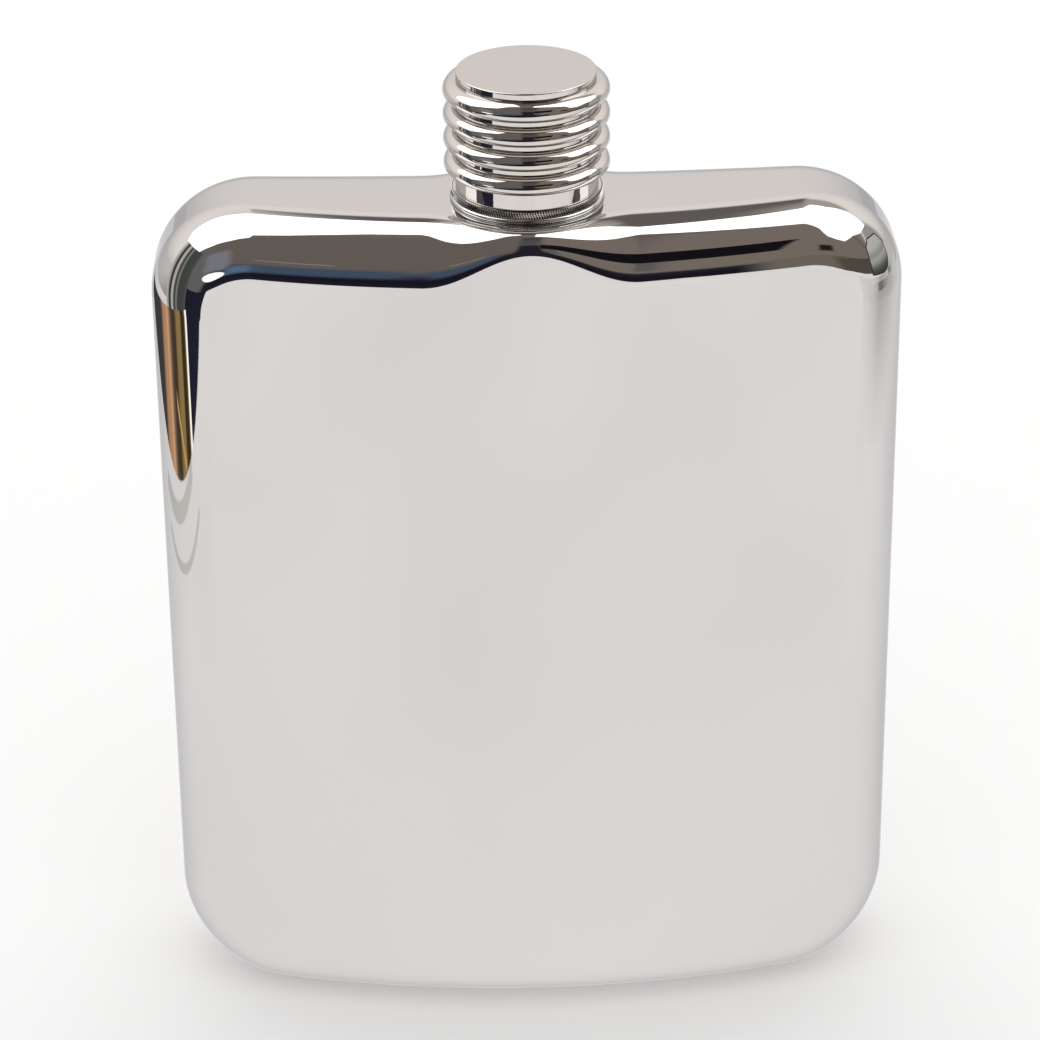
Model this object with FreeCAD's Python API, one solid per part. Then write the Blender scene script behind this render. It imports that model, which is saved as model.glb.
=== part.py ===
"""Hip flask with a ribbed screw cap.

Origin: under the neck axis, on the plane the flask stands on.
+Z up, +X to the flask's right seen from the front, front face towards -Y.
The body is curved in plan, so that it lies against a hip: the front face is
convex and the back face is slightly hollow.  All lengths are in millimetres.
"""
import FreeCAD, Part
import math
import os

from FreeCAD import Vector

# ---- driving dimensions: body ----
BODY_WIDTH = 92.0
BODY_HEIGHT = 108.8
BODY_THICKNESS = 25.3        # on the neck axis
FRONT_CURVE_RADIUS = 124.0   # convex front face, in plan
BACK_CURVE_RADIUS = 509.0    # hollow back face, in plan
TOP_CORNER_RADIUS = 13.1
BOTTOM_CORNER_RADIUS = 12.9
EDGE_FILLET = 7.2            # front and back rims
SHEET = 0.8                  # metal thickness of the two pressed halves
BOSS_TOP_RADIUS = 9.9        # raised pad that carries the neck
BOSS_BOTTOM_RADIUS = 12.3
BOSS_DEPTH = 9.0

# ---- driving dimensions: neck and collar ----
NECK_BORE_RADIUS = 5.2
NECK_CORE_RADIUS = 6.0
NECK_HEIGHT = 10.0           # lip above the body top
NECK_TAIL = 3.0              # tube below the body top, inside the flask
FLANGE_RADIUS = 9.3
FLANGE_HEIGHT = 0.65
COLLAR_RADIUS = 9.2
COLLAR_HEIGHT = 0.8
LIP_ROUND = 0.25

# ---- driving dimensions: screw thread (single start, right hand) ----
THREAD_LEAD = 2.0
THREAD_DEPTH = 0.7
THREAD_ROOT_WIDTH = 0.9
THREAD_CREST_WIDTH = 0.4
THREAD_CLEARANCE = 0.2       # radial, crest to root, both sides
THREAD_BITE = 0.3            # how far the ridge is rooted in its tube, so that they fuse
NECK_THREAD_START = 3.0      # middle of the ridge, above the body top
NECK_THREAD_TURNS = 2.8
INSERT_THREAD_TURNS = 2.0

# ---- driving dimensions: cap ----
CAP_BASE = 1.6               # lower edge of the closed cap, above the body top
CAP_TOP = 16.1               # top face of the closed cap, above the body top
RIB_COUNT = 4
RIB_PITCH = 3.055
RIB_RADIUS = 1.38            # half-round section
RIB_ROOT_RADIUS = 8.62       # cap wall between the ribs
TOP_RIB_DROP = 2.32          # top face to the first rib's crest
CAP_BORE_RADIUS = 7.7
DISC_RADIUS = 8.4
DISC_BEVEL = 0.18
INSERT_RADIUS = 7.65
INSERT_RECESS = 0.3          # lower edge of the insert, inside the cap's
SEAL_THICKNESS = 1.5
BACKING_THICKNESS = 0.5
SEAL_RADIAL_GAP = 0.15
INSERT_CROWN = 2.2           # closed top of the insert

# ---- levels worked out from them ----
TOP = BODY_HEIGHT
HALF_THICKNESS = BODY_THICKNESS / 2
# the seam runs midway between the two faces
SEAM_RADIUS = 2 / (1 / FRONT_CURVE_RADIUS + 1 / BACK_CURVE_RADIUS)
LIP = TOP + NECK_HEIGHT
COLLAR_BASE = TOP + FLANGE_HEIGHT
RIM = TOP + CAP_BASE
CROWN = TOP + CAP_TOP
TOP_CREST = CROWN - TOP_RIB_DROP
SHELL_TOP = TOP_CREST + RIB_RADIUS
INSERT_BASE = RIM + INSERT_RECESS
INSERT_BORE_RADIUS = NECK_CORE_RADIUS + THREAD_DEPTH + THREAD_CLEARANCE
SEAL_RADIUS = INSERT_BORE_RADIUS - SEAL_RADIAL_GAP
SEAL_TOP = LIP + SEAL_THICKNESS
BACKING_TOP = SEAL_TOP + BACKING_THICKNESS
INSERT_TOP = BACKING_TOP + INSERT_CROWN
AXIS = Vector(0, 0, 1)
MARGIN = 20.0                # how far cutting tools reach past the flask


def tube(outer, inner, low, high):
    """A ring or tube on the neck axis."""
    solid = Part.makeCylinder(outer, high - low, Vector(0, 0, low))
    bore = Part.makeCylinder(inner, high - low, Vector(0, 0, low))
    return solid.cut(bore)


def revolve(points):
    """Turn a closed outline of (radius, height) points about the neck axis."""
    outline = Part.makePolygon([Vector(r, 0, z) for r, z in points + points[:1]])
    return Part.Face(outline).revolve(Vector(0, 0, 0), AXIS, 360)


# ---- body ----

def front_outline(inset):
    """Rounded rectangle in the XZ plane, the flask seen from the front."""
    side = BODY_WIDTH / 2 - inset
    low = inset
    high = BODY_HEIGHT - inset
    top = TOP_CORNER_RADIUS - inset
    bottom = BOTTOM_CORNER_RADIUS - inset

    def corner(x, z, radius, start):
        angles = [math.radians(start + step) for step in (0, 45, 90)]
        points = [Vector(x + radius * math.cos(a), 0, z + radius * math.sin(a)) for a in angles]
        return Part.Arc(*points).toShape()

    arcs = [
        corner(side - top, high - top, top, 0),
        corner(top - side, high - top, top, 90),
        corner(bottom - side, low + bottom, bottom, 180),
        corner(side - bottom, low + bottom, bottom, 270),
    ]
    edges = []
    for arc, following in zip(arcs, arcs[1:] + arcs[:1]):
        edges.append(arc)
        edges.append(Part.makeLine(arc.valueAt(arc.LastParameter), following.valueAt(following.FirstParameter)))
    return Part.Wire(edges)


def plan_outline(inset):
    """The flask seen from above: a convex front arc and a hollow back arc."""
    reach = BODY_WIDTH / 2 + MARGIN

    def arc(middle, centre, radius):
        sign = 1 if middle > centre else -1
        end = centre + sign * math.sqrt(radius ** 2 - reach ** 2)
        return Part.Arc(Vector(-reach, end, 0), Vector(0, middle, 0), Vector(reach, end, 0)).toShape()

    front = arc(inset - HALF_THICKNESS, FRONT_CURVE_RADIUS - HALF_THICKNESS, FRONT_CURVE_RADIUS - inset)
    back = arc(HALF_THICKNESS - inset, HALF_THICKNESS + BACK_CURVE_RADIUS, BACK_CURVE_RADIUS + inset)
    ends = [
        Part.makeLine(front.valueAt(front.LastParameter), back.valueAt(back.LastParameter)),
        Part.makeLine(back.valueAt(back.FirstParameter), front.valueAt(front.FirstParameter)),
    ]
    return Part.Wire([front, ends[0], back, ends[1]])


def block(inset):
    """The body with sharp front and back rims."""
    slab = Part.Face(front_outline(inset)).extrude(Vector(0, 2 * MARGIN + BODY_THICKNESS, 0))
    slab.translate(Vector(0, -MARGIN - HALF_THICKNESS, 0))
    column = Part.Face(plan_outline(inset)).extrude(Vector(0, 0, BODY_HEIGHT + 2 * MARGIN))
    column.translate(Vector(0, 0, -MARGIN))
    return slab.common(column)


def rim_edges(solid, inset):
    """The edges round the front face and round the back face."""
    faces = (
        (FRONT_CURVE_RADIUS - HALF_THICKNESS, FRONT_CURVE_RADIUS - inset),
        (HALF_THICKNESS + BACK_CURVE_RADIUS, BACK_CURVE_RADIUS + inset),
    )

    def on_face(edge, centre, radius):
        points = edge.discretize(5)
        return all(abs(math.hypot(p.x, p.y - centre) - radius) < 0.01 for p in points)

    return [edge for edge in solid.Edges if any(on_face(edge, *face) for face in faces)]


def form(inset):
    """The body with rounded rims and the raised pad under the neck."""
    sharp = block(inset)
    rounded = sharp.makeFillet(EDGE_FILLET - inset, rim_edges(sharp, inset))
    pad = Part.makeCone(
        BOSS_BOTTOM_RADIUS - inset, BOSS_TOP_RADIUS - inset, BOSS_DEPTH, Vector(0, 0, TOP - inset - BOSS_DEPTH)
    )
    return rounded.fuse(pad.common(sharp)).removeSplitter()


def body_halves():
    """Front and back pressings, joined on a seam midway between the faces."""
    hollow = form(0).cut(form(SHEET))
    hollow = hollow.cut(Part.makeCylinder(NECK_CORE_RADIUS, 3 * SHEET, Vector(0, 0, TOP - 2 * SHEET)))
    behind = Part.makeCylinder(SEAM_RADIUS, BODY_HEIGHT + 2 * MARGIN, Vector(0, SEAM_RADIUS, -MARGIN))
    return hollow.cut(behind), hollow.common(behind)


# ---- screw thread ----

def thread_ridge(root_radius, outward, low, turns):
    """One helical ridge, standing outward or inward from its tube."""
    flank = (THREAD_ROOT_WIDTH - THREAD_CREST_WIDTH) / 2 / THREAD_DEPTH
    crest = THREAD_CREST_WIDTH / 2
    foot = crest + flank * (THREAD_DEPTH + THREAD_BITE)
    tip_radius = root_radius + outward * THREAD_DEPTH
    foot_radius = root_radius - outward * THREAD_BITE
    corners = [(foot_radius, -foot), (tip_radius, -crest), (tip_radius, crest), (foot_radius, foot)]
    points = [Vector(r, 0, low + z) for r, z in corners]
    profile = Part.makePolygon(points + points[:1])
    helix = Part.makeHelix(THREAD_LEAD, THREAD_LEAD * turns, root_radius)
    helix.translate(Vector(0, 0, low))
    return Part.Wire(helix.Edges).makePipeShell([profile], True, True)


# ---- neck ----

def neck():
    """Pouring tube: tail inside the flask, flange on the pad, thread and lip."""
    tail = TOP - NECK_TAIL
    round_low = LIP - LIP_ROUND
    solid = revolve([
        (NECK_BORE_RADIUS, tail),
        (NECK_CORE_RADIUS, tail),
        (NECK_CORE_RADIUS, TOP),
        (FLANGE_RADIUS, TOP),
        (FLANGE_RADIUS, COLLAR_BASE),
        (NECK_CORE_RADIUS, COLLAR_BASE),
        (NECK_CORE_RADIUS, round_low),
        (NECK_CORE_RADIUS - LIP_ROUND, LIP),
        (NECK_BORE_RADIUS, LIP),
    ])
    ridge = thread_ridge(NECK_CORE_RADIUS, 1, TOP + NECK_THREAD_START, NECK_THREAD_TURNS)
    return solid.fuse(ridge)


def collar_ring():
    """Reeded ring that the cap closes down to."""
    return tube(COLLAR_RADIUS, NECK_CORE_RADIUS, COLLAR_BASE, COLLAR_BASE + COLLAR_HEIGHT)


# ---- cap ----

def cap_shell():
    """Turned outer sleeve with half-round ribs."""
    sleeve = tube(RIB_ROOT_RADIUS, CAP_BORE_RADIUS, RIM, SHELL_TOP)
    for number in range(RIB_COUNT):
        crest = TOP_CREST - number * RIB_PITCH
        rib = Part.makeTorus(RIB_ROOT_RADIUS, RIB_RADIUS, Vector(0, 0, crest))
        core = Part.makeCylinder(RIB_ROOT_RADIUS, 2 * RIB_RADIUS, Vector(0, 0, crest - RIB_RADIUS))
        sleeve = sleeve.fuse(rib.cut(core))
    return sleeve.removeSplitter()


def cap_top_disc():
    """Flat disc that closes the sleeve, with a spigot down to the insert."""
    return revolve([
        (0, INSERT_TOP),
        (INSERT_RADIUS, INSERT_TOP),
        (INSERT_RADIUS, SHELL_TOP),
        (DISC_RADIUS, SHELL_TOP),
        (DISC_RADIUS, CROWN - DISC_BEVEL),
        (DISC_RADIUS - DISC_BEVEL, CROWN),
        (0, CROWN),
    ])


def cap_thread_insert():
    """Threaded cup inside the sleeve."""
    cup = revolve([
        (INSERT_BORE_RADIUS, INSERT_BASE),
        (INSERT_RADIUS, INSERT_BASE),
        (INSERT_RADIUS, INSERT_TOP),
        (0, INSERT_TOP),
        (0, BACKING_TOP),
        (INSERT_BORE_RADIUS, BACKING_TOP),
    ])
    # half a lead above the neck's ridge, so that the two mesh
    low = TOP + NECK_THREAD_START + THREAD_LEAD / 2
    return cup.fuse(thread_ridge(INSERT_BORE_RADIUS, -1, low, INSERT_THREAD_TURNS))


def cap_seal():
    """Soft washer that the lip presses into."""
    return Part.makeCylinder(SEAL_RADIUS, SEAL_THICKNESS, Vector(0, 0, LIP))


def seal_backing_disc():
    """Thin hard disc that lets the cap turn on the seal."""
    return Part.makeCylinder(SEAL_RADIUS, BACKING_THICKNESS, Vector(0, 0, SEAL_TOP))


def main():
    os.makedirs("parts", exist_ok=True)
    front_shell, back_shell = body_halves()
    front_shell.exportStep("parts/front_shell.step")
    back_shell.exportStep("parts/back_shell.step")
    neck().exportStep("parts/neck.step")
    collar_ring().exportStep("parts/collar_ring.step")
    cap_shell().exportStep("parts/cap_shell.step")
    cap_top_disc().exportStep("parts/cap_top_disc.step")
    cap_thread_insert().exportStep("parts/cap_thread_insert.step")
    cap_seal().exportStep("parts/cap_seal.step")
    seal_backing_disc().exportStep("parts/seal_backing_disc.step")


main()
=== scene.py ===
import math

import bmesh
import bpy
import numpy as np
from mathutils import Matrix, Vector


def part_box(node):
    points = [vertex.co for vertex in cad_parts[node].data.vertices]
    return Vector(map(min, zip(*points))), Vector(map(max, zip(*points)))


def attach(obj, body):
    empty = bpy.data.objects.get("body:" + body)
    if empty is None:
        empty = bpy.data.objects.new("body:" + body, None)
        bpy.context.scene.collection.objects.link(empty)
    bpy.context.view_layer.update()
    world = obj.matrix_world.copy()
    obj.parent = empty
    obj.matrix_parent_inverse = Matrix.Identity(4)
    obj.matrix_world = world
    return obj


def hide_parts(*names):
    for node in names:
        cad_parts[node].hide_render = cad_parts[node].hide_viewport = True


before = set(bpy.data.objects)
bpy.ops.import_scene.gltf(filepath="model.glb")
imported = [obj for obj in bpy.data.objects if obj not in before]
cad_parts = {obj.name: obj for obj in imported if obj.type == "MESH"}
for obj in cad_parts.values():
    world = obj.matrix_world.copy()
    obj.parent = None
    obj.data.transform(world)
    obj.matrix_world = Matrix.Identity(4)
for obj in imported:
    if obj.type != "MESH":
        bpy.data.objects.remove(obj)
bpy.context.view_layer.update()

MM = 0.001
SENSOR = 36.0                # mm
LENS = 135.789               # mm

# ---- body, in mm, from the frame ----
shell_low, shell_high = (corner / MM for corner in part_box("front_shell"))
HALF_WIDTH = shell_high.x
HEIGHT = shell_high.z
HALF_THICKNESS = -shell_low.y
FRONT_CURVE = 124.0          # convex front face, radius in plan
BACK_CURVE = 509.0           # hollow back face, radius in plan
TOP_CORNER = 13.1
BOTTOM_CORNER = 12.9
RIM = 7.2                    # rounding of the front and back rims
TIGHT_RIM = 2.75             # the same in front of the neck, where the pad pushes it out
PAD_REACH = 13.0             # where the pad has faded out, along the rim
SHEET = 0.8                  # metal thickness
LAND_RINGS = 9               # rings of points from the seam to the rim,
RIM_RINGS = 31               # round the rim,
FACE_RINGS = 25              # and from the rim to the middle of the face

# ---- neck and cap, in mm, from the frame ----
neck_low, neck_high = (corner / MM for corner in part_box("neck"))
collar_low, collar_high = (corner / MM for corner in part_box("collar_ring"))
sleeve_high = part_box("cap_shell")[1] / MM
disc_low, disc_high = (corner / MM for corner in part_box("cap_top_disc"))
insert_low, insert_high = (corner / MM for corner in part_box("cap_thread_insert"))
seal_low, seal_high = (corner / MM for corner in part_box("cap_seal"))
backing_low, backing_high = (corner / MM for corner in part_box("seal_backing_disc"))
NECK_CORE = 6.0              # radii of the neck's tube, outside and inside
NECK_BORE = 5.2
THREAD_LEAD = 2.0
THREAD_DEPTH = 0.7
THREAD_ROOT = 0.9            # width of the ridge at its foot and at its top
THREAD_CREST = 0.4
NECK_THREAD = (3.0, 2.8)     # first ridge above the body top, turns
INSERT_THREAD = (4.0, 2.0)
INSERT_BORE = 6.9
RIB_RADIUS = 1.38
RIB_UPPER = 1.28             # the ribs are slightly flattened above and below
RIB_LOWER = 1.08
RIB_ROOT = sleeve_high.x - RIB_RADIUS
RIB_PITCH = 3.055
RIB_COUNT = 4
SLEEVE_BORE = 7.7
REED_COUNT = 180
REED_DEPTH = 0.20
REED_SLANT = 0.35            # sideways lean per mm of height, mm
SLEEVE_GAP = 0.04            # between the sleeve's foot and the collar
HELD_RUN = 0.2               # straight runs longer than this get points near their ends,
HELD_STEP = 0.03             # this far in


# ---------------------------------------------------------------- mesh helpers

def make_mesh(name, points, faces, normals=None):
    """A mesh object from points in mm; normals, one per face corner, are optional."""
    mesh = bpy.data.meshes.new(name)
    mesh.from_pydata([tuple(p) for p in np.asarray(points) * MM], [], faces)
    mesh.shade_smooth()
    if normals is not None:
        mesh.normals_split_custom_set(normals)
    piece = bpy.data.objects.new(name, mesh)
    bpy.context.scene.collection.objects.link(piece)
    return piece


def strip(first, second):
    """Quads between two closed rings of vertex numbers."""
    count = len(first)
    return [
        (first[i], first[(i + 1) % count], second[(i + 1) % count], second[i])
        for i in range(count)
    ]


def held(profile):
    """Extra points near the ends of long runs, so that flats stay flat up to their rounded edges."""
    full = []
    for (r0, z0), (r1, z1) in zip(profile, profile[1:]):
        full.append((r0, z0))
        length = math.hypot(r1 - r0, z1 - z0)
        if length > HELD_RUN:
            step = HELD_STEP / length
            full.append((r0 + (r1 - r0) * step, z0 + (z1 - z0) * step))
            full.append((r1 - (r1 - r0) * step, z1 - (z1 - z0) * step))
    return full + [profile[-1]]


def lathe(name, profile, segments=192, sharp_angle=28.0, radial=None):
    """Turn a closed profile of (radius, height) points about the neck axis.

    radial(radius, height, angle) may move each point in or out, as for a thread or reeding.
    """
    angles = np.linspace(0, 2 * math.pi, segments, endpoint=False)
    rings = []
    points = []
    for radius, height in held(profile):
        if radius < 1e-6:
            rings.append([len(points)])
            points.append((0.0, 0.0, height))
            continue
        reach = np.full(segments, float(radius)) if radial is None else radial(radius, height, angles)
        rings.append(list(range(len(points), len(points) + segments)))
        points.extend(zip(reach * np.cos(angles), reach * np.sin(angles), np.full(segments, height)))
    faces = []
    closed = len(rings[0]) > 1 and len(rings[-1]) > 1
    pairs = list(zip(rings, rings[1:])) + ([(rings[-1], rings[0])] if closed else [])
    for low, high in pairs:
        if len(low) == 1:
            faces += [(low[0], high[i], high[(i + 1) % segments]) for i in range(segments)]
        elif len(high) == 1:
            faces += [(high[0], low[(i + 1) % segments], low[i]) for i in range(segments)]
        else:
            faces += [face[::-1] for face in strip(low, high)]
    piece = make_mesh(name, points, faces)
    piece.data.set_sharp_from_angle(angle=math.radians(sharp_angle))
    fix_normals(piece)
    return piece


def fix_normals(piece):
    """Point every face outward."""
    work = bmesh.new()
    work.from_mesh(piece.data)
    bmesh.ops.recalc_face_normals(work, faces=work.faces)
    work.to_mesh(piece.data)
    work.free()


def arc(centre_r, centre_z, radius, start, end, steps=10):
    """Points on a circle in the profile plane, angles in degrees."""
    return [
        (centre_r + radius * math.cos(math.radians(a)), centre_z + radius * math.sin(math.radians(a)))
        for a in np.linspace(start, end, steps)
    ]


# ---------------------------------------------------------------- body

def sag(radius, x):
    """How far a face of this radius falls away at x from its middle."""
    return radius - np.sqrt(radius ** 2 - x ** 2)


def slope(radius, x):
    """Rate of change of sag along x."""
    return x / np.sqrt(radius ** 2 - x ** 2)


def smooth_step(t):
    """0 to 1 with no kink in slope or curvature at either end."""
    t = np.clip(t, 0, 1)
    return t ** 3 * (t * (6 * t - 15) + 10)


def outline():
    """Points round the body seen from the front, clockwise from the neck.

    Returns position, inward normal, tangent and curvature of each point.
    """
    side = HALF_WIDTH
    hole = [NECK_CORE * math.sin(math.radians(a)) for a in np.linspace(0, 90, 25)]
    pad = list(np.linspace(NECK_CORE, PAD_REACH + 1.0, 28))[1:]
    run = list(np.linspace(PAD_REACH + 1.0, side - TOP_CORNER, 14))[1:]
    rows = [((x, HEIGHT), (0, -1), (1, 0), 0.0) for x in hole + pad + run[:-1]]

    def corner(x, z, radius, start, steps=40):
        for a in np.radians(np.linspace(start, start - 90, steps + 1)):
            out = (math.cos(a), math.sin(a))
            place = (x + radius * out[0], z + radius * out[1])
            yield place, (-out[0], -out[1]), (out[1], -out[0]), 1 / radius

    rows += corner(side - TOP_CORNER, HEIGHT - TOP_CORNER, TOP_CORNER, 90)
    for z in np.linspace(HEIGHT - TOP_CORNER, BOTTOM_CORNER, 42)[1:-1]:
        rows.append(((side, z), (-1, 0), (0, -1), 0.0))
    rows += corner(side - BOTTOM_CORNER, BOTTOM_CORNER, BOTTOM_CORNER, 0)
    for x in np.linspace(side - BOTTOM_CORNER, 0, 26)[1:]:
        rows.append(((x, 0.0), (0, 1), (-1, 0), 0.0))
    # the left half mirrors the right one, walked the other way
    rows += [((-p[0], p[1]), (-n[0], n[1]), (t[0], -t[1]), k) for p, n, t, k in rows[1:-1]][::-1]
    place, inward, along, bend = (np.array(column, float) for column in zip(*rows))
    return place, inward, along, bend


def rim_radius(place, inward):
    """Rim rounding at each outline point and its rate of change along x."""
    on_top = inward[:, 1] < -0.999
    phase = np.clip(place[:, 0] / PAD_REACH, -1, 1) * math.pi
    fade = (1 - np.cos(phase)) / 2
    rate = np.sin(phase) / 2 * math.pi / PAD_REACH
    radius = np.where(on_top, TIGHT_RIM + (RIM - TIGHT_RIM) * fade, RIM)
    return radius, np.where(on_top, (RIM - TIGHT_RIM) * rate, 0.0)


def half_surface(side, inset):
    """One face of one half: rings of points and normals from the seam to the middle.

    side is -1 for the front half and 1 for the back half; inset is 0 outside, SHEET inside.
    """
    place, inward, along, bend = outline()
    radius, rate = rim_radius(place, inward)
    curve = FRONT_CURVE if side < 0 else BACK_CURVE
    x = place[:, 0] + inward[:, 0] * inset
    z = place[:, 1] + inward[:, 1] * inset

    def face(at):
        return side * HALF_THICKNESS + sag(curve, at)

    seam = (sag(FRONT_CURVE, x) + sag(BACK_CURVE, x)) / 2
    at_hole = (inward[:, 1] < -0.999) & (np.abs(x) <= NECK_CORE)
    start = np.where(at_hole, side * np.sqrt(np.maximum(NECK_CORE ** 2 - x ** 2, 0)), seam)
    land_end = face(x) - side * radius
    rings = []
    outward = np.column_stack([-inward[:, 0], np.zeros(len(x)), -inward[:, 1]])
    for t in np.linspace(0, 1, LAND_RINGS):
        rings.append((np.column_stack([x, start + (land_end - start) * t, z]), outward))
    small = radius - inset
    for a in np.radians(np.linspace(0, 90, RIM_RINGS)[1:]):
        depth = inset + small * (1 - math.cos(a))
        rise = inset + small * (1 - math.sin(a))
        px = place[:, 0] + inward[:, 0] * depth
        pz = place[:, 1] + inward[:, 1] * depth
        tilt = slope(curve, px)
        change = rate * along[:, 0]
        across = [
            inward[:, 0] * math.sin(a),
            tilt * inward[:, 0] * math.sin(a) + side * math.cos(a),
            inward[:, 1] * math.sin(a),
        ]
        run_x = (1 - bend * depth) * along[:, 0] + change * (1 - math.cos(a)) * inward[:, 0]
        run_z = (1 - bend * depth) * along[:, 1] + change * (1 - math.cos(a)) * inward[:, 1]
        run = [run_x, tilt * run_x - side * change * (1 - math.sin(a)), run_z]
        normal = side * np.cross(np.column_stack(run), np.column_stack(across))
        normal /= np.linalg.norm(normal, axis=1)[:, None]
        rings.append((np.column_stack([px, face(px) - side * rise, pz]), normal))
    edge = place + inward * radius[:, None]
    middle = np.array([0.0, HEIGHT / 2])
    for t in np.linspace(0, 1, FACE_RINGS)[1:-1]:
        px, pz = (edge + (middle - edge) * t).T
        rings.append((np.column_stack([px, face(px) - side * inset, pz]), face_normal(side, curve, px)))
    hub = (np.array([[0.0, side * (HALF_THICKNESS - inset), HEIGHT / 2]]), np.array([[0.0, side, 0.0]]))
    return rings, hub


def face_normal(side, curve, x):
    """Outward normals of the front (side -1) or back (side 1) face."""
    normal = np.column_stack([-side * slope(curve, x), np.full(len(x), float(side)), np.zeros(len(x))])
    return normal / np.linalg.norm(normal, axis=1)[:, None]


def body_half(name, side):
    """A closed pressing: outer face, inner face and the strip along the seam and the neck's hole."""
    points, vertex_normals, faces, corner_normals, first_rings = [], [], [], [], []
    for inset in (0.0, SHEET):
        rings, hub = half_surface(side, inset)
        sign = 1 if inset == 0 else -1
        numbers = []
        for ring, normal in rings + [hub]:
            base = len(points)
            numbers.append(list(range(base, base + len(ring))))
            points.extend(ring)
            vertex_normals.extend(sign * normal)
        sheet = []
        for low, high in zip(numbers[:-1], numbers[1:-1]):
            sheet += strip(low, high)
        last, centre = numbers[-2], numbers[-1][0]
        sheet += [(last[i], last[(i + 1) % len(last)], centre) for i in range(len(last))]
        if sign * side < 0:
            sheet = [face[::-1] for face in sheet]
        faces += sheet
        first_rings.append(numbers[0])
    for face in faces:
        corner_normals += [vertex_normals[v] for v in face]
    closing = strip(*(first_rings if side < 0 else reversed(first_rings)))
    for face in closing:
        a, b, c = (np.array(points[v]) for v in face[:3])
        flat = np.cross(b - a, c - a)
        length = np.linalg.norm(flat)
        corner_normals += [flat / length if length > 1e-9 else (0, -side, 0)] * 4
    return make_mesh(name, points, faces + closing, corner_normals)


# ---------------------------------------------------------------- neck and cap

def thread(outward, first, turns):
    """Radial offset of a helical ridge at (height, angle), with tapered ends.

    outward is 1 for a thread outside its wall and -1 for one inside it.
    """
    def offset(height, angles):
        start = HEIGHT + first
        turn = (height - start) / THREAD_LEAD - angles / (2 * math.pi)
        nearest = np.round(turn)
        travelled = nearest + angles / (2 * math.pi)
        away = np.abs(turn - nearest) * THREAD_LEAD
        flank = (THREAD_ROOT - THREAD_CREST) / 2
        ridge = np.clip((THREAD_ROOT / 2 - away) / flank, 0, 1)
        fade = smooth_step(travelled * 8) * smooth_step((turns - travelled) * 8)
        return outward * THREAD_DEPTH * ridge * fade
    return offset


def threaded(core, start, end, offset):
    """A radial function for lathe: the wall at radius core carries the thread from start to end."""
    def radial(radius, height, angles):
        reach = np.full(len(angles), float(radius))
        if abs(radius - core) < 1e-6 and start <= height <= end:
            reach = reach + offset(height, angles)
        return reach
    return radial


def neck_piece():
    """Flange, threaded tube and rounded lip."""
    tail, lip = neck_low.z, neck_high.z
    flange = neck_high.x
    ledge = collar_low.z
    start, end = ledge + 0.9, lip - 0.5
    radial = threaded(NECK_CORE, start, end, thread(1, *NECK_THREAD))
    profile = [(NECK_BORE, tail), (NECK_CORE - 0.02, tail), (NECK_CORE - 0.02, HEIGHT + 0.02)]
    profile += [(flange - 0.2, HEIGHT + 0.02)]
    profile += arc(flange - 0.2, HEIGHT + 0.22, 0.2, -90, 0, 6)
    profile += arc(flange - 0.34, ledge - 0.36, 0.34, 0, 90, 14)
    profile += [(NECK_CORE, ledge - 0.02)]
    profile += [(NECK_CORE, z) for z in np.linspace(start, end, 150)]
    profile += arc(NECK_CORE - 0.3, lip - 0.3, 0.3, 0, 90, 8)
    profile += arc(NECK_BORE + 0.15, lip - 0.15, 0.15, 90, 180, 6)
    return lathe("neck_spout", profile, 180, 40.0, radial)


def collar_piece():
    """Reeded ring: fine slanted teeth round its whole edge."""
    low, high = collar_low.z, collar_high.z
    outer = collar_high.x

    def radial(radius, height, angles):
        depth = np.clip((radius - (outer - 0.3)) / 0.2, 0, 1) * REED_DEPTH
        slant = (height - low) * REED_SLANT / outer
        groove = np.abs((angles + slant) * REED_COUNT / (2 * math.pi) % 1 - 0.5) * 2
        return radius - depth * groove

    profile = [(NECK_CORE + 0.02, low), (outer - 0.3, low), (outer - 0.06, low)]
    profile += [(outer, z) for z in np.linspace(low + 0.05, high - 0.1, 7)]
    profile += [(outer - 0.03, high - 0.03), (outer - 0.12, high), (outer - 0.4, high)]
    profile += [(NECK_CORE + 0.02, high)]
    return lathe("reeded_collar", profile, REED_COUNT * 6, 50.0, radial)


def sleeve_profile():
    """Plain skirt below, ribs above."""
    low, high = collar_high.z + SLEEVE_GAP, sleeve_high.z
    profile = [(SLEEVE_BORE, low + 0.1)]
    profile += arc(SLEEVE_BORE + 0.1, low + 0.1, 0.1, 180, 270, 4)
    profile += arc(RIB_ROOT - 0.06, low + 0.06, 0.06, -90, 0, 5)
    top_crest = high - RIB_RADIUS
    for number in reversed(range(RIB_COUNT)):
        crest = top_crest - number * RIB_PITCH
        upper = RIB_RADIUS if number == 0 else RIB_UPPER
        profile += [
            (r, crest + (z - crest) * (upper if z > crest else RIB_LOWER) / RIB_RADIUS)
            for r, z in arc(RIB_ROOT, crest, RIB_RADIUS, -90, 90, 37)
        ]
    profile += [(SLEEVE_BORE, high)]
    return profile


def disc_profile():
    """Flat top plate with a spigot below it that centres it in the sleeve."""
    edge = disc_high.x
    crown, foot = disc_high.z, sleeve_high.z
    base, spigot = disc_low.z, insert_high.x - 0.02
    return (
        [(0, base), (spigot - 0.08, base), (spigot, base + 0.1), (spigot, foot + 0.02)]
        + [(edge - 0.05, foot + 0.02), (edge, foot + 0.08)]
        + arc(edge - 0.14, crown - 0.14, 0.14, 0, 90, 7)
        + [(edge * f, crown) for f in (0.9, 0.6, 0.3)]
        + [(0, crown)]
    )


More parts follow.
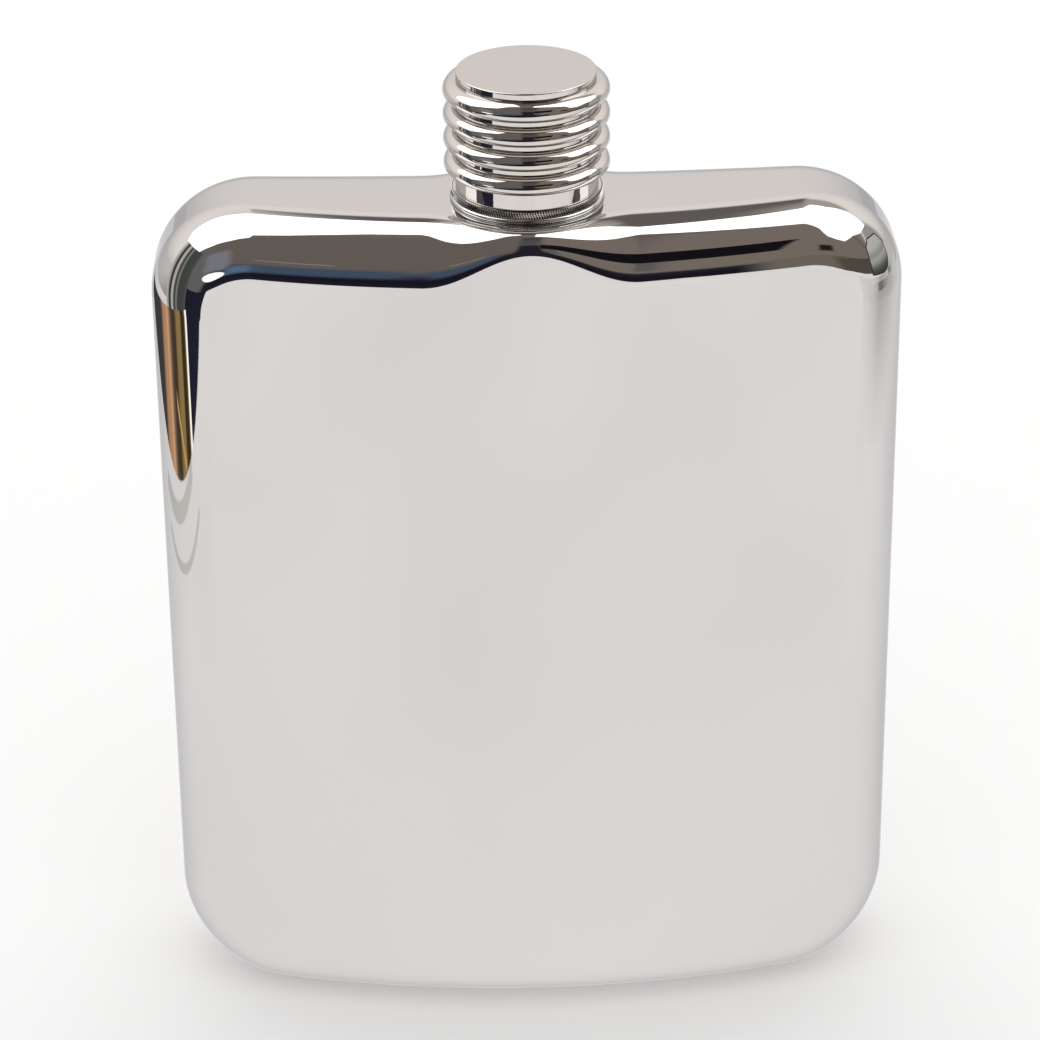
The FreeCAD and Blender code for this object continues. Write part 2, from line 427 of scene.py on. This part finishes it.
def insert_piece():
    """Cup inside the cap with the inner thread."""
    low, high = insert_low.z, insert_high.z
    outer = insert_high.x - 0.01
    ceiling = backing_high.z + 0.02
    start, end = low + 0.4, seal_low.z - 0.1
    radial = threaded(INSERT_BORE, start, end, thread(-1, *INSERT_THREAD))
    profile = [(0, ceiling), (INSERT_BORE - 0.001, ceiling)]
    profile += [(INSERT_BORE, z) for z in np.linspace(end, start, 130)]
    profile += arc(INSERT_BORE + 0.15, low + 0.15, 0.15, 180, 270, 5)
    profile += arc(outer - 0.12, low + 0.12, 0.12, -90, 0, 5)
    profile += [(outer, high - 0.12), (outer - 0.12, high - 0.02), (0, high - 0.02)]
    return lathe("threaded_insert", profile, 180, 40.0, radial)


def wad_profile(low, high, radius, rounding):
    """A plain disc with rounded edges."""
    return (
        [(0, low)]
        + arc(radius - rounding, low + rounding, rounding, -90, 0, 6)
        + arc(radius - rounding, high - rounding, rounding, 0, 90, 6)
        + [(0, high)]
    )


# ---------------------------------------------------------------- materials

class Nodes:
    """Short names for building a node tree."""

    def __init__(self, tree):
        self.tree = tree
        tree.nodes.clear()

    def add(self, kind, **settings):
        node = self.tree.nodes.new(kind)
        for key, value in settings.items():
            setattr(node, key, value)
        return node

    def link(self, source, target):
        self.tree.links.new(source, target)

    def place(self):
        """Position in the object's own space."""
        return self.add("ShaderNodeTexCoord").outputs["Object"]

    def axes(self, vector):
        """The three numbers of a vector."""
        split = self.add("ShaderNodeSeparateXYZ")
        self.link(vector, split.inputs[0])
        return split.outputs

    def noise(self, where, scale, detail=2.0):
        node = self.add("ShaderNodeTexNoise")
        node.inputs["Scale"].default_value = scale
        node.inputs["Detail"].default_value = detail
        self.link(where, node.inputs["Vector"])
        return node.outputs["Fac"]

    def bump(self, height, strength, distance):
        node = self.add("ShaderNodeBump")
        node.inputs["Strength"].default_value = strength
        node.inputs["Distance"].default_value = distance
        self.link(height, node.inputs["Height"])
        return node.outputs[0]

    def surface(self, shader, kind="ShaderNodeOutputMaterial"):
        self.link(shader.outputs[0], self.add(kind).inputs["Surface"])

    def glow(self, colour):
        """A surface that gives out the colour."""
        light = self.add("ShaderNodeEmission")
        self.link(colour, light.inputs["Color"])
        self.surface(light)

    def math(self, operation, first, second=None, third=None):
        """Result of a calculation on numbers or outputs."""
        node = self.add("ShaderNodeMath", operation=operation)
        for socket, value in zip(node.inputs, (first, second, third)):
            if value is None:
                continue
            if isinstance(value, (int, float)):
                socket.default_value = value
            else:
                self.link(value, socket)
        return node.outputs[0]

    def span(self, value, start, end):
        """0 where value is start, 1 where it is end, eased between."""
        node = self.add("ShaderNodeMapRange", interpolation_type="SMOOTHSTEP")
        node.inputs["From Min"].default_value = start
        node.inputs["From Max"].default_value = end
        self.link(value, node.inputs["Value"])
        return node.outputs[0]

    def ramp(self, factor, stops):
        """Colours along a factor; stops are (factor, colour)."""
        node = self.add("ShaderNodeValToRGB")
        elements = node.color_ramp.elements
        while len(elements) < len(stops):
            elements.new(0.5)
        for element, (position, colour) in zip(elements, stops):
            element.position = position
            element.color = (*colour, 1.0)
        self.link(factor, node.inputs[0])
        return node.outputs[0]

    def mix(self, factor, first, second):
        """Colour between first and second."""
        node = self.add("ShaderNodeMix", data_type="RGBA")
        for number, value in ((0, factor), (6, first), (7, second)):
            socket = node.inputs[number]
            if isinstance(value, (int, float)):
                socket.default_value = value
            elif isinstance(value, tuple):
                socket.default_value = (*value, 1.0)
            else:
                self.link(value, socket)
        return node.outputs[2]


def new_material(name):
    """An empty material and its nodes."""
    material = bpy.data.materials.new(name)
    material.use_nodes = True
    return material, Nodes(material.node_tree)


def polished_metal(name, colour, tint, roughness=0.028, scratch=1.0, groove=None):
    """Mirror-polished metal with faint polishing marks and slight tone changes.

    groove is four radii from the upright axis, mm: painted shade comes in over the first two and fades
    out again over the last two, darkening the bottoms of the reed grooves.
    """
    material, nodes = new_material(name)
    place = nodes.place()
    base = nodes.ramp(nodes.noise(place, 28.0, 3.0), [(0.3, colour), (0.7, tint)])
    if groove is not None:
        x, y = nodes.axes(place)[:2]
        squares = [nodes.math("POWER", value, 2.0) for value in (x, y)]
        radius = nodes.math("SQRT", nodes.math("ADD", *squares))
        begin, full, wane, end = (edge * MM for edge in groove)
        # painted shade: a near-black ring in the bottoms of the reed grooves
        painted_groove_shade = nodes.math("MULTIPLY", nodes.span(radius, begin, full), nodes.span(radius, end, wane))
        base = nodes.mix(painted_groove_shade, base, (0.07, 0.06, 0.05))

    # polishing marks, drawn out along the height
    smear = nodes.add("ShaderNodeMapping")
    smear.inputs["Scale"].default_value = (1.0, 1.0, 0.06)
    nodes.link(place, smear.inputs["Vector"])
    marks = nodes.noise(smear.outputs[0], 900.0, 4.0)
    rough = nodes.add("ShaderNodeMapRange")
    rough.inputs["To Min"].default_value = roughness * 0.5
    rough.inputs["To Max"].default_value = roughness * 1.6
    nodes.link(marks, rough.inputs["Value"])

    shader = nodes.add("ShaderNodeBsdfPrincipled")
    shader.inputs["Metallic"].default_value = 1.0
    shader.inputs["Specular Tint"].default_value = (0.68, 0.69, 0.72, 1.0)
    nodes.link(base, shader.inputs["Base Color"])
    nodes.link(rough.outputs[0], shader.inputs["Roughness"])
    nodes.link(nodes.bump(marks, 0.02 * scratch, 0.00002), shader.inputs["Normal"])
    nodes.surface(shader)
    return material


def silicone(name):
    """Milky food-grade silicone with a fine matte grain."""
    material, nodes = new_material(name)
    place = nodes.place()
    base = nodes.ramp(nodes.noise(place, 400.0), [(0.3, (0.62, 0.59, 0.53)), (0.7, (0.70, 0.67, 0.61))])
    shader = nodes.add("ShaderNodeBsdfPrincipled")
    shader.inputs["Roughness"].default_value = 0.55
    nodes.link(base, shader.inputs["Base Color"])
    nodes.link(nodes.bump(nodes.noise(place, 6000.0), 0.25, 0.00003), shader.inputs["Normal"])
    nodes.surface(shader)
    return material


def glow(name, colour, strength=1.0):
    """One even light colour."""
    material, nodes = new_material(name)
    light = nodes.add("ShaderNodeEmission")
    light.inputs["Color"].default_value = (*colour, 1.0)
    light.inputs["Strength"].default_value = strength
    nodes.surface(light)
    return material


def floor_material():
    """Plain off-white paper."""
    material, nodes = new_material("paper_sweep")
    shader = nodes.add("ShaderNodeBsdfDiffuse")
    shader.inputs["Color"].default_value = (0.93, 0.925, 0.92, 1.0)
    nodes.surface(shader)
    return material


# ---------------------------------------------------------------- studio

def reflection_only(obj):
    """A studio card that is seen only in the metal."""
    obj.visible_camera = False
    obj.visible_diffuse = False
    obj.visible_transmission = False
    obj.visible_volume_scatter = False
    obj.visible_shadow = False
    return obj


def card(name, corners, material):
    """A flat glowing panel from its corners in metres."""
    mesh = bpy.data.meshes.new(name)
    mesh.from_pydata(corners, [], [tuple(range(len(corners)))])
    obj = bpy.data.objects.new(name, mesh)
    bpy.context.scene.collection.objects.link(obj)
    mesh.materials.append(material)
    return reflection_only(obj)


def board(name, near, far, low, high, material):
    """An upright panel standing between two points of the table, in metres."""
    corners = [(*near, low), (*far, low), (*far, high), (*near, high)]
    return card(name, corners, material)


def striped(name, stops, axis=1, foot=None):
    """Glow whose colour changes along one axis; stops are (metres, colour).

    foot is a pair of heights, metres: below them the glow fades into the paper.
    """
    material, nodes = new_material(name)
    position = nodes.axes(nodes.place())
    start, end = stops[0][0], stops[-1][0]
    along = nodes.math("DIVIDE", nodes.math("SUBTRACT", position[axis], start), end - start)
    seen = nodes.ramp(along, [((at - start) / (end - start), colour) for at, colour in stops])
    if foot is not None:
        seen = nodes.mix(nodes.span(position[2], *foot), (1.0, 0.98, 0.965), seen)
    nodes.glow(seen)
    return material


def paper_glow():
    """How the pale paper looks in the metal: nearly even, with faint clouding."""
    material, nodes = new_material("paper_in_metal")
    cloud = nodes.noise(nodes.place(), 9.0, 1.0)
    nodes.glow(nodes.ramp(cloud, [(0.35, (0.995, 0.975, 0.96)), (0.65, (1.04, 1.02, 1.01))]))
    return material


# The room by direction. Side is the angle to the right of the middle plane. Over runs from the
# horizon behind (0) through the zenith (90) and the horizon in front (180) to straight down (270).
ROOM_TONES = (                                   # over, colour
    (0, (0.84, 0.81, 0.785)),
    (14, (1.02, 0.975, 0.94)),
    (30, (1.10, 1.03, 0.985)),
    (46, (1.07, 0.985, 0.94)),
    (62, (0.90, 0.82, 0.77)),
    (74, (0.30, 0.27, 0.25)),
    (100, (0.180, 0.155, 0.137)),
    (166, (0.175, 0.150, 0.130)),
    (176, (0.024, 0.022, 0.034)),
    (186, (0.012, 0.010, 0.020)),
    (210, (0.024, 0.024, 0.036)),
    (300, (0.10, 0.10, 0.11)),
    (345, (0.75, 0.73, 0.71)),
)
ROOM_PATCHES = (                                 # colour, sides, overs, feather, lean to the right
    ((0.24, 0.20, 0.175), (12, 100), (104, 176), 5, 0),           # right side, pale brown
    ((0.21, 0.18, 0.15), (29, 62), (168, 196), 6, 0),
    ((0.105, 0.095, 0.075), (52, 100), (176, 300), 10, 0),
    ((0.17, 0.165, 0.16), (-100, -58), (100, 230), 6, 0),         # left side, greys
    ((0.25, 0.26, 0.30), (-66, -47), (136, 178), 8, 0),
    ((0.36, 0.35, 0.34), (-100, -74), (-20, 60), 8, 0),           # far corners behind
    ((0.42, 0.41, 0.40), (58, 100), (-20, 60), 8, 0),
    ((0.50, 0.46, 0.41), (12, 46), (47, 68), 8, 0),
    ((0.16, 0.145, 0.14), (-7, 13), (44, 84), 7, 0),              # bar between the soft boxes
    ((0.085, 0.07, 0.065), (-5, 9), (103, 122), 5, 0),
    ((0.10, 0.105, 0.12), (-7, 8), (117, 142), 6, 0),             # the dark figure in front
    ((0.022, 0.020, 0.028), (-7, 9), (142, 205), 5, 0),
    ((0.145, 0.135, 0.132), (9, 17), (156, 172), 4, 0),
    ((0.24, 0.205, 0.175), (17, 60), (157, 173), 4, 0),
    ((0.009, 0.008, 0.011), (8.5, 30.5), (139.5, 158), 1.2, -0.12),  # long black screen
    ((0.02, 0.018, 0.016), (44, 54), (151, 164), 4, 0),
    ((0.07, 0.105, 0.17), (-47, -13), (160, 175), 8, -0.3),       # blue light low on the left
    ((0.12, 0.20, 0.33), (-47, -34), (160, 174), 8, -0.3),
    ((0.30, 0.29, 0.25), (-31, -21.5), (158.2, 160.0), 0.8, 0),   # thin ledge
)
LAMP_CENTRE = (-54.5, 187.0)                     # side, over
LAMP_REACH = (8.5, 6.5)
LAMP_COLOUR = (1.7, 1.7, 1.7)


def room(nodes):
    """Colour of the room in the direction of the world's ray."""
    x, y, z = nodes.axes(nodes.add("ShaderNodeTexCoord").outputs["Generated"])
    side = nodes.math("DEGREES", nodes.math("ARCSINE", x))
    over = nodes.math("WRAP", nodes.math("DEGREES", nodes.math("ARCTAN2", z, y)), 360.0, 0.0)
    tones = [(angle / 360, colour) for angle, colour in ROOM_TONES]
    seen = nodes.ramp(nodes.math("DIVIDE", over, 360.0), tones)
    for colour, sides, overs, feather, lean in ROOM_PATCHES:
        height = nodes.math("SUBTRACT", over, nodes.math("MULTIPLY", side, lean)) if lean else over
        masks = []
        for value, (low, high) in ((side, sides), (height, overs)):
            away = nodes.math("ABSOLUTE", nodes.math("SUBTRACT", value, (low + high) / 2))
            masks.append(nodes.span(away, (high - low + feather) / 2, (high - low - feather) / 2))
        seen = nodes.mix(nodes.math("MULTIPLY", *masks), seen, colour)
    shares = [
        nodes.math("DIVIDE", nodes.math("SUBTRACT", value, middle), reach)
        for value, middle, reach in zip((side, over), LAMP_CENTRE, LAMP_REACH)
    ]
    away = nodes.math("ADD", *(nodes.math("POWER", share, 2.0) for share in shares))
    return nodes.mix(nodes.span(away, 1.12, 0.88), seen, LAMP_COLOUR)


def studio_world():
    """White all round, a little brighter than 1 for the floor; reflections see the room."""
    white = (1.09, 1.09, 1.09)
    world = bpy.data.worlds.new("studio")
    bpy.context.scene.world = world
    world.use_nodes = True
    nodes = Nodes(world.node_tree)
    path = nodes.add("ShaderNodeLightPath")
    colour = nodes.mix(path.outputs["Is Glossy Ray"], white, room(nodes))
    background = nodes.add("ShaderNodeBackground")
    nodes.link(colour, background.inputs["Color"])
    nodes.surface(background, "ShaderNodeOutputWorld")


def build_floor():
    """The pale floor that the camera sees, a hair below the flask."""
    mesh = bpy.data.meshes.new("floor")
    reach = 4.0
    corners = [(-reach, -reach, 0), (reach, -reach, 0), (reach, reach, 0), (-reach, reach, 0)]
    mesh.from_pydata(corners, [], [(0, 1, 2, 3)])
    floor = bpy.data.objects.new("floor", mesh)
    floor.location.z = -0.0001
    floor.visible_glossy = False
    bpy.context.scene.collection.objects.link(floor)
    mesh.materials.append(floor_material())


def paper_and_softboxes():
    """What most of the metal reflects: the paper under the flask and two soft boxes above it."""
    # the paper's front edge runs askew
    paper = [
        (-0.34, -0.25), (-0.23, -0.272), (-0.10, -0.345), (0.05, -0.402), (0.205, -0.525),
        (0.265, -0.48), (0.30, -0.38), (0.60, -0.32), (0.655, -0.24), (0.655, -0.08), (0.58, 0.03),
        (0.45, 0.15), (0.36, 0.23), (0.29, 0.30), (0.27, 2.0), (-0.34, 2.0),
    ]
    card("paper", [(x, y, -0.00005) for x, y in paper], paper_glow())

    # the soft boxes hang left and right of the neck
    ceiling = 0.6
    bright = glow("softbox", (1.0, 1.0, 1.0), 2.2)
    left = [
        (-0.035, 0.01), (-0.10, -0.02), (-0.19, -0.12), (-0.30, -0.215), (-0.55, -0.235),
        (-1.0, -0.207), (-1.5, -0.15), (-1.55, 0.2), (-1.4, 0.56), (-1.0, 0.56), (-0.54, 0.42),
        (-0.25, 0.32), (-0.035, 0.30),
    ]
    right = [
        (0.04, -0.06), (0.22, -0.13), (0.36, -0.175), (0.50, -0.235), (0.64, -0.33), (0.80, -0.42),
        (1.1, -0.475), (1.44, -0.46), (1.35, -0.10), (1.5, 0.17), (1.4, 0.58), (0.68, 0.39),
        (0.38, 0.25), (0.22, 0.25), (0.15, 0.12), (0.045, 0.04),
    ]
    card("softbox_left", [(x, y, ceiling) for x, y in left], bright)
    card("softbox_right", [(x, y, ceiling) for x, y in right], bright)


def left_boards():
    """Crates and boards standing along the left edge of the paper."""
    foot, end = (-0.155, 0.18), (-0.212, -0.14)
    split = -0.038                   # where the dark board meets the tall ones
    top = 0.040                      # of the crates

    def along(y):
        return foot[0] + (y - foot[1]) * (foot[0] - end[0]) / (foot[1] - end[1]), y

    low = striped("crates", [
        (-0.140, (0.020, 0.020, 0.039)), (-0.042, (0.020, 0.020, 0.036)),
        (-0.040, (1.6, 1.58, 1.5)), (-0.035, (1.5, 1.45, 1.4)), (-0.031, (0.29, 0.173, 0.068)),
        (-0.027, (0.064, 0.041, 0.016)), (-0.013, (0.064, 0.041, 0.016)),
        (-0.009, (0.32, 0.26, 0.11)), (0.006, (0.38, 0.25, 0.09)), (0.012, (0.24, 0.14, 0.055)),
        (0.016, (0.068, 0.048, 0.040)), (0.030, (0.09, 0.065, 0.045)), (0.040, (0.30, 0.20, 0.11)),
        (0.046, (0.76, 0.43, 0.22)), (0.052, (0.84, 0.52, 0.32)), (0.058, (0.70, 0.37, 0.18)),
        (0.072, (0.66, 0.36, 0.20)), (0.080, (0.45, 0.25, 0.15)), (0.086, (0.12, 0.09, 0.08)),
        (0.094, (0.073, 0.071, 0.076)), (0.165, (0.075, 0.073, 0.080)), (0.180, (0.30, 0.29, 0.30)),
    ])
    board("crates", along(-0.14), along(0.18), 0.003, top, low)
    strip_low, strip_high = along(-0.006), along(0.023)
    bar = [(*strip_low, 0.003), (*strip_high, 0.017), (*strip_high, 0.020), (*strip_low, 0.006)]
    card("gilt_bar", [(x + 0.001, y, z) for x, y, z in bar], glow("gilt_bar", (0.75, 0.48, 0.14)))
    tall = striped("tall_boards", [
        (-0.075, (0.15, 0.15, 0.14)), (-0.040, (0.14, 0.14, 0.12)), (-0.030, (0.08, 0.09, 0.08)),
        (-0.004, (0.07, 0.075, 0.08)), (0.002, (0.34, 0.33, 0.31)), (0.006, (0.10, 0.10, 0.10)),
        (0.013, (0.08, 0.08, 0.08)), (0.016, (0.60, 0.58, 0.55)), (0.023, (0.60, 0.58, 0.55)),
        (0.026, (0.06, 0.055, 0.06)), (0.033, (0.05, 0.045, 0.05)), (0.036, (0.45, 0.43, 0.40)),
        (0.048, (0.75, 0.72, 0.68)),
    ])
    board("tall_boards", along(split), along(0.046), top, 0.155, tall)
    navy = glow("navy_board", (0.018, 0.018, 0.036))
    near, far = along(-0.14), along(split)
    card("navy_board", [(*near, top), (*far, top), (*far, 0.075), (*near, 0.045)], navy)

    # soft shadows of the crates on the paper
    for number, (start, stop, width) in enumerate((
        ((-0.150, 0.098), (-0.190, -0.030), 0.009),
        ((-0.141, 0.085), (-0.171, -0.050), 0.004),
    )):
        shade = [(start[0] - width, start[1]), start, stop, (stop[0] - width, stop[1])]
        painted_shade_glow = glow("crate_shade", (0.74, 0.72, 0.69))
        card(f"crate_shade_{number}", [(x, y, 0.0001) for x, y in shade], painted_shade_glow)


def right_case():
    """A pale case with a dark outline to the right, and boards of painted soft shade below it."""
    wall = 0.20
    case = [
        (-0.020, 0.070), (0.020, 0.067), (0.045, 0.065), (0.066, 0.069), (0.080, 0.082),
        (0.086, 0.110), (0.070, 0.135), (0.020, 0.140), (-0.006, 0.125), (-0.017, 0.095),
    ]
    middle = (0.033, 0.100)
    margin = 0.08
    inner = [(y + (middle[0] - y) * margin, z + (middle[1] - z) * margin) for y, z in case]
    dark = glow("case_outline", (0.035, 0.035, 0.03))
    card("case_outline", [(wall + 0.0005, y, z) for y, z in case], dark)
    card("case", [(wall, y, z) for y, z in inner], striped("case", [
        (0.066, (0.06, 0.06, 0.05)), (0.074, (0.09, 0.09, 0.08)), (0.080, (0.15, 0.15, 0.13)),
        (0.087, (0.35, 0.355, 0.33)), (0.094, (0.50, 0.505, 0.47)), (0.102, (0.36, 0.37, 0.34)),
        (0.115, (0.60, 0.60, 0.57)), (0.140, (0.64, 0.64, 0.61)),
    ], 2))
    # painted shade: glowing boards that stand for the soft shade on the paper below the case, seen only
    # in the metal
    for name, low, high, stops in (
        ("painted_shade_low", 0.0, 0.043, (
            (-0.08, 0.92), (-0.055, 0.88), (-0.024, 0.75), (-0.004, 0.62), (0.006, 0.54),
            (0.017, 0.55), (0.040, 0.60), (0.071, 0.65), (0.089, 0.73), (0.110, 0.87), (0.150, 0.94),
        )),
        ("painted_shade_middle", 0.043, 0.057, (
            (-0.08, 0.93), (-0.050, 0.87), (-0.023, 0.78), (-0.006, 0.64), (0.004, 0.24),
            (0.016, 0.22), (0.036, 0.42), (0.055, 0.57), (0.079, 0.68), (0.100, 0.83), (0.150, 0.92),
        )),
        ("painted_shade_high", 0.057, 0.066, (
            (-0.08, 0.90), (-0.018, 0.85), (0.000, 0.68), (0.010, 0.54), (0.018, 0.50),
            (0.038, 0.66), (0.056, 0.70), (0.063, 0.22), (0.070, 0.28), (0.079, 0.50),
            (0.098, 0.78), (0.150, 0.92),
        )),
    ):
        shades = [(at, (value, value * 0.99, value * 0.97)) for at, value in stops]
        painted_shade_glow = striped(name, shades, foot=(-0.001, 0.036))
        board(name, (wall, stops[0][0]), (wall, stops[-1][0]), low, high, painted_shade_glow)


def build_studio():
    build_floor()
    paper_and_softboxes()
    left_boards()
    right_case()
    studio_world()


def build_camera():
    """Looks down on the front from a little above, with a long lens."""
    data = bpy.data.cameras.new("camera")
    camera = bpy.data.objects.new("camera", data)
    bpy.context.scene.collection.objects.link(camera)
    turn, pitch, roll = (math.radians(a) for a in (-1.35, 26.95, -0.61))
    distance = 0.4922
    target = Vector((-0.00128, 0, 0.06497))
    data.sensor_width = SENSOR
    data.lens = LENS
    data.clip_start = 0.01
    forward = Vector((
        -math.sin(turn) * math.cos(pitch),
        math.cos(turn) * math.cos(pitch),
        -math.sin(pitch),
    ))
    right = Vector((math.cos(turn), math.sin(turn), 0))
    up = right.cross(forward)
    rolled_right = math.cos(roll) * right + math.sin(roll) * up
    rolled_up = math.cos(roll) * up - math.sin(roll) * right
    matrix = Matrix((rolled_right, rolled_up, -forward)).transposed().to_4x4()
    matrix.translation = target - forward * distance
    camera.matrix_world = matrix
    bpy.context.scene.camera = camera


# ---------------------------------------------------------------- assembly

def place(piece, body, node, slot, material):
    """Give a piece its material, and put it on its body in place of the CAD node."""
    piece.data.materials.clear()
    piece.data.materials.append(material)
    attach(piece, body)
    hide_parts(node)


def build_flask():
    """All nine pieces; the last two numbers of a metal are roughness and depth of its marks."""
    steel = polished_metal("polished_steel", (0.655, 0.645, 0.635), (0.675, 0.665, 0.655))
    nickel = polished_metal("polished_nickel", (0.655, 0.625, 0.595), (0.685, 0.655, 0.62), 0.04)
    reeded = polished_metal(
        "reeded_nickel", (0.68, 0.65, 0.61), (0.72, 0.69, 0.65), 0.05,
        # these radii place painted shade in the bottoms of the reeding's grooves
        groove=[collar_high.x - REED_DEPTH * part for part in (1.35, 1.1, 0.9, 0.35)],
    )
    neck_steel = polished_metal("turned_steel", (0.66, 0.64, 0.61), (0.69, 0.67, 0.64), 0.12, 3.0)
    brass = polished_metal("turned_brass", (0.72, 0.55, 0.28), (0.80, 0.62, 0.34), 0.22, 4.0)
    backing = polished_metal("stamped_steel", (0.50, 0.50, 0.50), (0.58, 0.58, 0.58), 0.35, 4.0)
    place(body_half("front_pressing", -1), "flask", "front_shell", "body_metal", steel)
    place(body_half("back_pressing", 1), "flask", "back_shell", "body_metal", steel)
    place(neck_piece(), "flask", "neck", "neck_metal", neck_steel)
    place(collar_piece(), "flask", "collar_ring", "cap_metal", reeded)
    place(lathe("ribbed_sleeve", sleeve_profile(), 256), "cap", "cap_shell", "cap_metal", nickel)
    place(lathe("cap_disc", disc_profile(), 256), "cap", "cap_top_disc", "cap_metal", nickel)
    place(insert_piece(), "cap", "cap_thread_insert", "insert_brass", brass)
    seal = lathe("sealing_washer", wad_profile(seal_low.z, seal_high.z, seal_high.x, 0.2), 128)
    place(seal, "cap_liner", "cap_seal", "seal_rubber", silicone("silicone"))
    disc = lathe("backing_disc", wad_profile(backing_low.z, backing_high.z, backing_high.x, 0.08), 128)
    place(disc, "cap_liner", "seal_backing_disc", "backing_steel", backing)


build_camera()
build_flask()
build_studio()
bpy.context.scene.view_settings.view_transform = "Standard"
